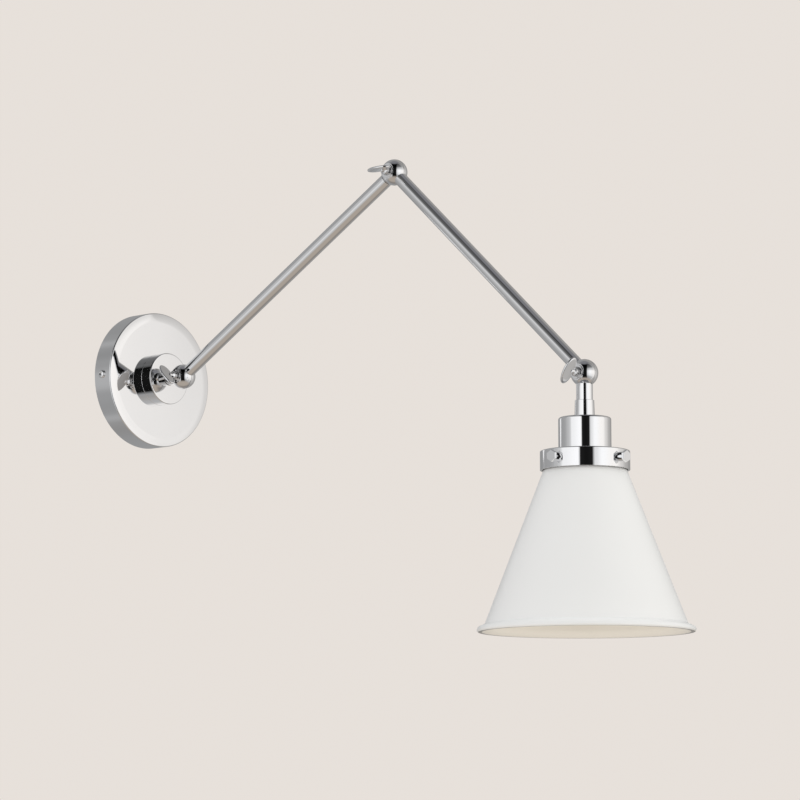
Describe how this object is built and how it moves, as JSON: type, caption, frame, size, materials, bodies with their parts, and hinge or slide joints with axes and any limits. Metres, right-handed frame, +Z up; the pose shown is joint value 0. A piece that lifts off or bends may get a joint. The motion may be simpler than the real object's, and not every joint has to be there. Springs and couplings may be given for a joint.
{
  "type": "swing arm wall sconce",
  "caption": "Wall light on a round plate: a swivel, two tube arms on ball knuckles locked by thumb screws, and a conical metal shade open below.",
  "frame": {"origin": "middle of the wall plate's back, on the wall", "axes": "+Y into the wall, -Y out into the room, +Z up, +X to the right of someone facing the wall; every pivot lies in the plane X = 0"},
  "size_m": [0.1806, 0.6266, 0.4276],
  "materials": {
    "polished_chrome": "polished nickel-chrome plate",
    "zinc_steel": "zinc plated",
    "brass": "turned",
    "fibre": "pressed fibre",
    "wire_sleeve": "soft sleeve",
    "green_sleeve": "soft sleeve",
    "green_steel": "dyed zinc plate",
    "orange_plastic": "moulded",
    "white_ceramic": "glazed porcelain",
    "satin_white": "satin paint outside and in"
  },
  "bodies": {
    "wall_side": {"backplate_cover": "polished_chrome", "wall_bracket": "zinc_steel", "cover_screws": "polished_chrome", "swivel_boss": "polished_chrome", "swivel_bush": "brass", "boss_washer": "zinc_steel", "boss_nut": "zinc_steel", "ground_screw": "green_steel", "wire_nuts": "orange_plastic", "canopy_leads": "wire_sleeve", "ground_lead": "green_sleeve"},
    "swivel": {"swivel_stem": "polished_chrome", "swivel_stop_pin": "zinc_steel", "swivel_washer": "zinc_steel", "swivel_nut": "zinc_steel", "swivel_wire": "wire_sleeve", "knuckle1_friction_ring": "fibre"},
    "arm1": {"arm1_tube": "polished_chrome", "arm1_inner_knuckle": "polished_chrome", "arm1_outer_knuckle": "polished_chrome", "arm1_wire": "wire_sleeve", "knuckle1_washer": "polished_chrome", "knuckle2_friction_ring": "fibre"},
    "arm2": {"arm2_tube": "polished_chrome", "arm2_inner_knuckle": "polished_chrome", "arm2_outer_knuckle": "polished_chrome", "arm2_wire": "wire_sleeve", "knuckle2_washer": "polished_chrome", "knuckle3_friction_ring": "fibre"},
    "shade_head": {"shade_knuckle": "polished_chrome", "knuckle3_washer": "polished_chrome", "stem_sleeve": "polished_chrome", "nipple": "zinc_steel", "nipple_nuts": "zinc_steel", "socket_cup": "polished_chrome", "cup_lock_ring": "zinc_steel", "fitter_ring": "polished_chrome", "fitter_screws": "polished_chrome", "shade": "satin_white", "holder_cap": "white_ceramic", "holder_body": "white_ceramic", "screw_shell": "brass", "centre_contact": "brass", "holder_leads": "wire_sleeve"},
    "thumb1": {"thumb_screw1": "polished_chrome"},
    "thumb2": {"thumb_screw2": "polished_chrome"},
    "thumb3": {"thumb_screw3": "polished_chrome"}
  },
  "joints": [
    {"name": "wall_swivel", "type": "hinge", "parent": "wall_side", "child": "swivel", "pos_m": [0, -0.0255, 0], "axis": [0, 1, 0], "range_deg": [-155, 155]},
    {"name": "wall_knuckle", "type": "hinge", "parent": "swivel", "child": "arm1", "pos_m": [0, -0.0525, 0], "axis": [1, 0, 0], "range_deg": [-59, 119]},
    {"name": "elbow_knuckle", "type": "hinge", "parent": "arm1", "child": "arm2", "pos_m": [0, -0.32164, 0.15664], "axis": [-1, 0, 0], "range_deg": [-40, 185]},
    {"name": "shade_knuckle_turn", "type": "hinge", "parent": "arm2", "child": "shade_head", "pos_m": [0, -0.5363, -0.04424], "axis": [1, 0, 0], "range_deg": [-150, 60]},
    {"name": "thumb_turn1", "type": "hinge", "parent": "swivel", "child": "thumb1", "pos_m": [0, -0.0525, 0], "axis": [-1, 0, 0], "range_deg": [0, 180]},
    {"name": "thumb_turn2", "type": "hinge", "parent": "arm1", "child": "thumb2", "pos_m": [0, -0.32164, 0.15664], "axis": [-1, 0, 0], "range_deg": [0, 180]},
    {"name": "thumb_turn3", "type": "hinge", "parent": "arm2", "child": "thumb3", "pos_m": [0, -0.5363, -0.04424], "axis": [-1, 0, 0], "range_deg": [0, 180]}
  ]
}
